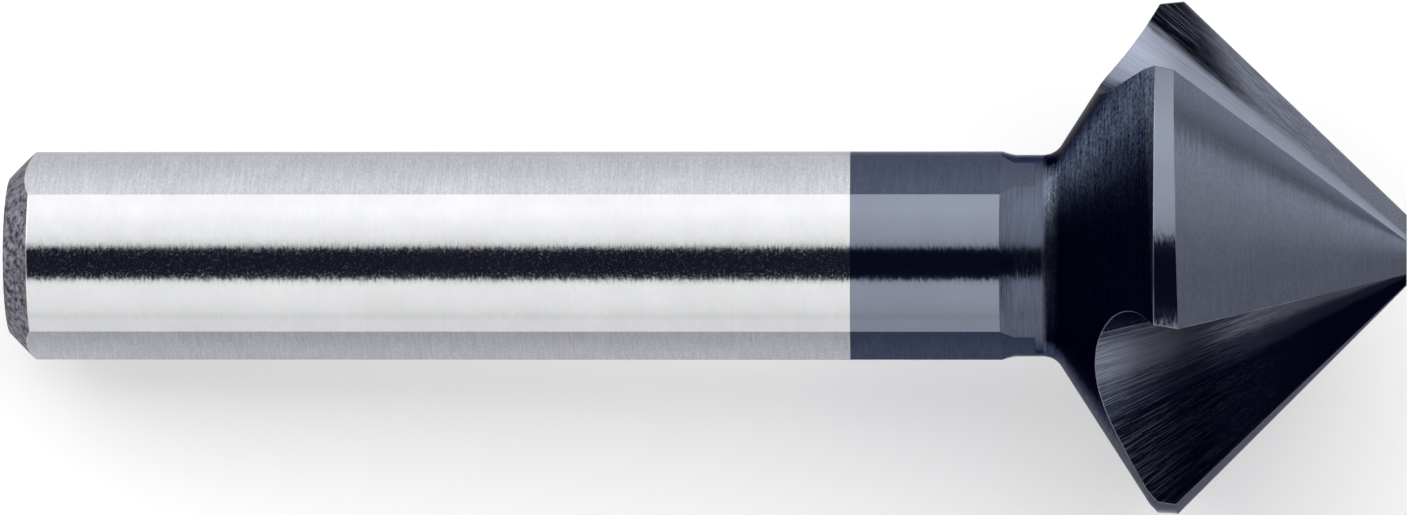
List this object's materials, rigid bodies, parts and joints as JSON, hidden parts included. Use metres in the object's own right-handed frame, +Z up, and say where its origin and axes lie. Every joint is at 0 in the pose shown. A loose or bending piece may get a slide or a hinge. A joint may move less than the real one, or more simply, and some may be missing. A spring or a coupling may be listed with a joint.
{
  "type": "countersink bit",
  "caption": "Conical countersink bit with a right-angle cone, straight flutes between relieved lands, and a round shank with flats.",
  "frame": {"origin": "on the table, under the middle of the bit's box as it lies at rest", "axes": "+Z up, +X towards the tip, with the tool's axis rising about 6.2 degrees towards the tip in the XZ plane"},
  "size_m": [0.0672, 0.025, 0.0233],
  "materials": {
    "tool_steel": "ground tool steel, bright on the shank, with a dark blue-violet hard coating on the front of the shank, the neck and the head"
  },
  "bodies": {
    "root": {"countersink": "tool_steel"}
  },
  "joints": []
}
